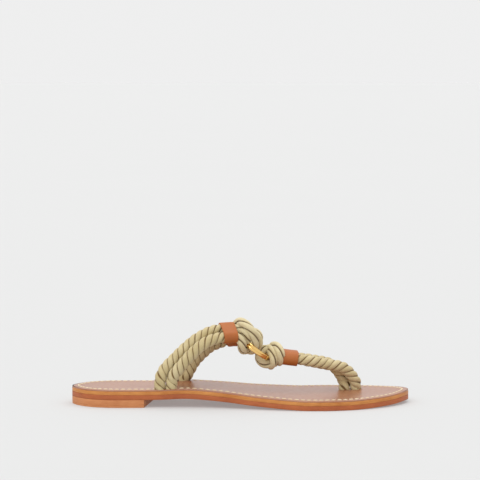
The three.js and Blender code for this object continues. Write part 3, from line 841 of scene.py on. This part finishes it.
ring = joined("gold_ring", [hoop_piece("lower_hoop", 0, 0), hoop_piece("upper_hoop", HOOP_LIFT, HOOP_OPENING)])
finish_piece(ring, GOLD_LOOK, "gold", "ring")


# Knots

KNOT_STATION = 0.7 * MM
KNOT_PITCH = 40 * MM


def knot_strand(name, points, phase):
    route = Route(points)
    count = int(route.length / KNOT_STATION)
    line = route.points(0, route.length, count)
    return lay_strands(name, line, KNOT_PITCH, np.full(count, KNOT_ROPE_DIAMETER), phase)


def handover(route, band_length):
    end = route.length - band_length / 2
    return [route.at(end + CORD_GAP + share * (route.length - end - CORD_GAP)) for share in (0, 0.5, 1)]


def eye_points(start, rows, end):
    return [*start, *[from_ring(row) for row in rows], *reversed(end)]


def free_points(rows):
    return [from_ring(row) for row in rows]


outer_eye = eye_points(
    handover(outer_pair.second, INSTEP_BAND_LENGTH), OUTER_EYE, handover(outer_pair.first, INSTEP_BAND_LENGTH)
)
inner_eye = eye_points(
    handover(inner_pair.first, INSTEP_BAND_LENGTH), INNER_EYE, handover(inner_pair.second, INSTEP_BAND_LENGTH)
)
toe_eye = eye_points(
    handover(toe_pair.first, TOE_BAND_LENGTH), TOE_EYE, handover(toe_pair.second, TOE_BAND_LENGTH)
)

instep_knot = joined("instep_knot_laid", [
    knot_strand("outer_eye", outer_eye, 0.3),
    knot_strand("inner_eye", inner_eye, 1.1),
    knot_strand("instep_wrap", free_points(INSTEP_WRAP), 0.6),
])
finish_piece(instep_knot, LIGHTENED_KNOT_LOOK, "rope", "instep_knot")

toe_knot = joined("toe_knot_laid", [
    knot_strand("toe_eye", toe_eye, 0.5),
    knot_strand("neck_wrap", free_points(NECK_WRAP), 0.2),
    knot_strand("neck_core", free_points(NECK_CORE), 0),
])
finish_piece(toe_knot, LIGHTENED_KNOT_LOOK, "rope", "toe_knot")


# Leather bands

BAND_SIDES = 72
BAND_STATIONS = 12


def stadium(angle_share, radius):
    """Point of two half circles joined by straight sides, by its share of the way round."""
    half = ROPE_SPACING / 2
    arc = math.pi * radius
    total = 2 * arc + 4 * half
    walked = angle_share * total
    if walked < arc:
        angle = walked / radius - math.pi / 2
        return half + radius * math.cos(angle), radius * math.sin(angle)
    walked -= arc
    if walked < 2 * half:
        return half - walked, radius
    walked -= 2 * half
    if walked < arc:
        angle = walked / radius + math.pi / 2
        return -half + radius * math.cos(angle), radius * math.sin(angle)
    return -half + walked - arc, -radius


def band_piece(name, pair, length, inside, past_end):
    clear_selection()
    bpy.ops.mesh.primitive_cylinder_add(vertices=BAND_SIDES, depth=1, radius=1, end_fill_type="NOTHING")
    piece = take(name)
    in_edit_mode(
        piece,
        lambda: bpy.ops.mesh.select_all(action="SELECT"),
        lambda: bpy.ops.mesh.subdivide(number_cuts=1),
    )
    total = pair.middle.length
    high = total - CORD_GAP + past_end
    low = high - length - 2 * past_end
    step = 0.5 * MM
    for vertex in piece.data.vertices:
        along = low + (vertex.co.z + 0.5) * (high - low)
        share = math.atan2(vertex.co.y, vertex.co.x) / (2 * math.pi) % 1
        x, y = stadium(share, inside)
        reach = min(along, total - step)
        tangent = unit(pair.middle.at(reach + step) - pair.middle.at(reach - step))
        right = pair.side_at(along)
        right = unit(right - tangent * np.dot(right, tangent))
        up = np.cross(tangent, right)
        centre = pair.middle.at(reach) + tangent * (along - reach)
        vertex.co = centre + right * x + up * y
    in_edit_mode(
        piece,
        lambda: bpy.ops.mesh.select_all(action="SELECT"),
        lambda: bpy.ops.mesh.normals_make_consistent(inside=False),
    )
    apply_modifier(piece, "SOLIDIFY", thickness=BAND_THICKNESS, offset=1)
    apply_modifier(piece, "BEVEL", width=0.4 * MM, segments=3, limit_method="ANGLE", angle_limit=1.0)
    smooth(piece, 50)
    return piece


TIGHT_INSIDE = ROPE_DIAMETER * ROPE_SQUEEZE / 2 + 0.1 * MM
FREE_INSIDE = ROPE_DIAMETER / 2 + 0.1 * MM
BANDS = [
    ("lateral_band", outer_pair, INSTEP_BAND_LENGTH, TIGHT_INSIDE, 0.8 * MM),
    ("medial_band", inner_pair, INSTEP_BAND_LENGTH, TIGHT_INSIDE, 0.5 * MM),
    ("toe_band", toe_pair, TOE_BAND_LENGTH, FREE_INSIDE, 0),
]
for node, pair, length, inside, past_end in BANDS:
    finish_piece(band_piece(node + "_wrapped", pair, length, inside, past_end), BAND_LOOK, "band_leather", node)


# Studio

def studio_floor():
    clear_selection()
    bpy.ops.mesh.primitive_plane_add(size=400, location=(0, 0, 0))
    floor = take("studio_floor")
    floor.data.materials.append(floor_finish())


def soft_sun(name, place_at, strength, spread):
    """Light from one side that falls evenly over the whole floor."""
    data = bpy.data.lights.new(name, "SUN")
    data.energy = strength
    data.angle = spread
    lamp = bpy.data.objects.new(name, data)
    bpy.context.collection.objects.link(lamp)
    lamp.rotation_euler = Vector(place_at).to_track_quat("Z", "Y").to_euler()


def studio_world(level):
    world = bpy.data.worlds.new("studio")
    world.use_nodes = True
    background = world.node_tree.nodes["Background"]
    background.inputs["Color"].default_value = (1, 1, 1, 1)
    background.inputs["Strength"].default_value = level
    bpy.context.scene.world = world


studio_floor()
studio_world(0.86)
soft_sun("key", (-0.5, -0.9, 1.2), 0.9, math.radians(40))
soft_sun("top", (0.2, 0.3, 1.4), 1.0, math.radians(60))
bpy.context.scene.view_settings.view_transform = "Standard"
